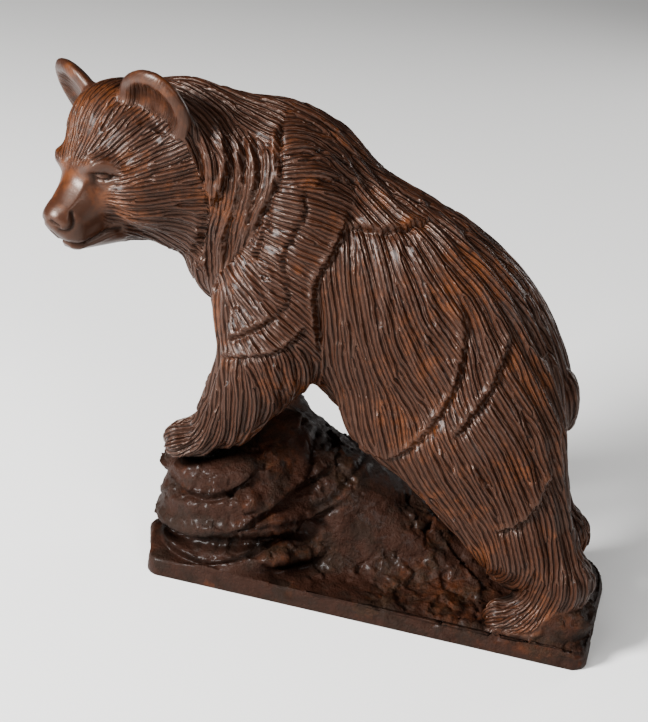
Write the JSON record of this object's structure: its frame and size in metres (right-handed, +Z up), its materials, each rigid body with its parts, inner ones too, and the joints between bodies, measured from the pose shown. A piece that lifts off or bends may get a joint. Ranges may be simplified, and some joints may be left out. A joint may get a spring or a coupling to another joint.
{
  "type": "bear figurine",
  "caption": "Figurine of a bear with its front paws on a boulder and its head turned, cast in one piece with its rocky base.",
  "frame": {"origin": "centre of the flat underside, below the middle of the base", "axes": "+Z up. The bear faces -X, and its length lies along X. Its left side faces -Y, and its head is turned that way."},
  "size_m": [0.2579, 0.0978, 0.2173],
  "materials": {
    "stained_resin": "satin"
  },
  "bodies": {
    "root": {"bear_on_rock": "stained_resin"}
  },
  "joints": []
}
